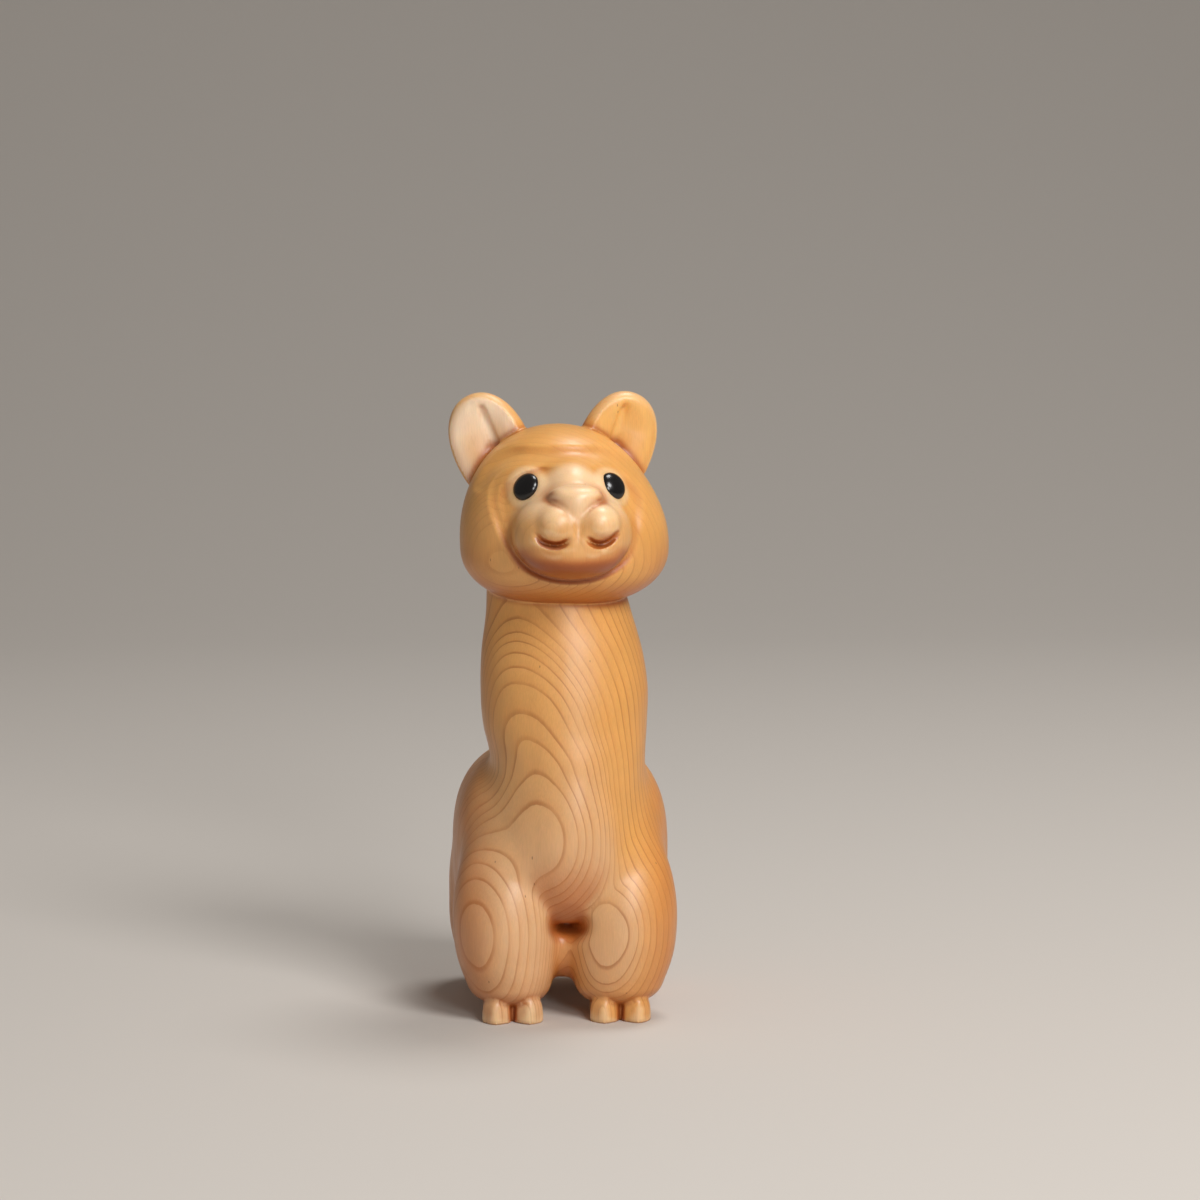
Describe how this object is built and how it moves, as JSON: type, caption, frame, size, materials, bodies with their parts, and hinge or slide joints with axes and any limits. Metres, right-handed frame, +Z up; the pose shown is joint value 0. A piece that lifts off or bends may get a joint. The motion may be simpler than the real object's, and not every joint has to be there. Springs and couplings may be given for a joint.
{
  "type": "carved wooden alpaca figurine",
  "caption": "Standing alpaca figurine carved from one block of golden wood, with rounded fleece, leaf-shaped ears, a small muzzle and inlaid black bead eyes.",
  "frame": {"origin": "on the ground under the middle of the figure's bounding box", "axes": "+Z up, the face looks along -Y, the animal's left side is at +X"},
  "size_m": [0.0288, 0.0386, 0.0781],
  "materials": {
    "oiled_wood": "oiled and hand rubbed, semi-gloss",
    "black_horn": "polished black horn"
  },
  "bodies": {
    "root": {"carved_body": "oiled_wood", "left_eye": "black_horn", "right_eye": "black_horn"}
  },
  "joints": []
}
